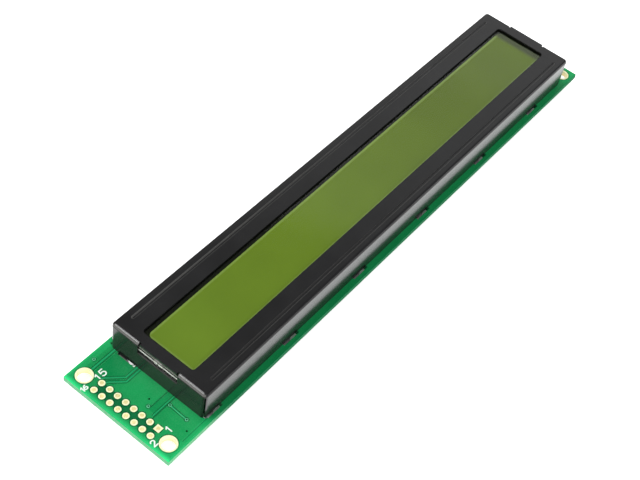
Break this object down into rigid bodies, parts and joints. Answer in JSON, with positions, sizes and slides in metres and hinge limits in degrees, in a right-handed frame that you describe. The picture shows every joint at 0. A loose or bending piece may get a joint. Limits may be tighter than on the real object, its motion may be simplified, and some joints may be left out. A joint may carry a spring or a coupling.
{
  "type": "character display module",
  "caption": "Long character display module: green circuit board, black steel bezel with a green-yellow display window, plated connector and mounting holes at its end.",
  "frame": {"origin": "centre of the board in plan, at the level of the lowest tab tips on the rear", "axes": "+X along the board away from the connector, +Y across the board, +Z out of the viewing side"},
  "size_m": [0.182, 0.033, 0.013],
  "materials": {
    "solder_mask": "glossy green solder mask over glass-fibre laminate",
    "gold_plate": "thin gold plating, satin",
    "black_paint": "black satin paint on pressed steel",
    "polarizer_film": "clear film with a fine satin face",
    "glass": "polished sheet glass",
    "seal_resin": "cured resin, amber and cloudy",
    "green_film": "yellow-green transflective film",
    "contact_rubber": "layered conductive silicone",
    "white_plastic": "white moulded plastic",
    "diffuser_plastic": "opal sheet",
    "lamp_board": "white solder mask",
    "lamp_resin": "clear lamp resin",
    "tinned_metal": "tinned, bright",
    "solder": "solder, satin",
    "black_resin": "black potting resin, slightly glossy",
    "resistor_ceramic": "black printed ceramic",
    "capacitor_ceramic": "tan ceramic"
  },
  "bodies": {
    "root": {"pcb": "solder_mask", "mounting_barrels": "gold_plate", "header_pads": "gold_plate", "pin_one_pad": "gold_plate", "bezel": "black_paint", "front_polarizer": "polarizer_film", "front_glass": "glass", "rear_glass": "glass", "end_seal": "seal_resin", "rear_polarizer": "green_film", "front_contact_strip": "contact_rubber", "rear_contact_strip": "contact_rubber", "backlight_housing": "white_plastic", "backlight_diffuser": "diffuser_plastic", "lamp_board": "lamp_board", "backlight_lamps": "lamp_resin", "backlight_terminals": "tinned_metal", "terminal_solder": "solder", "controller_dome": "black_resin", "driver_domes": "black_resin", "chip_resistors": "resistor_ceramic", "chip_capacitors": "capacitor_ceramic", "chip_end_caps": "solder"}
  },
  "joints": []
}
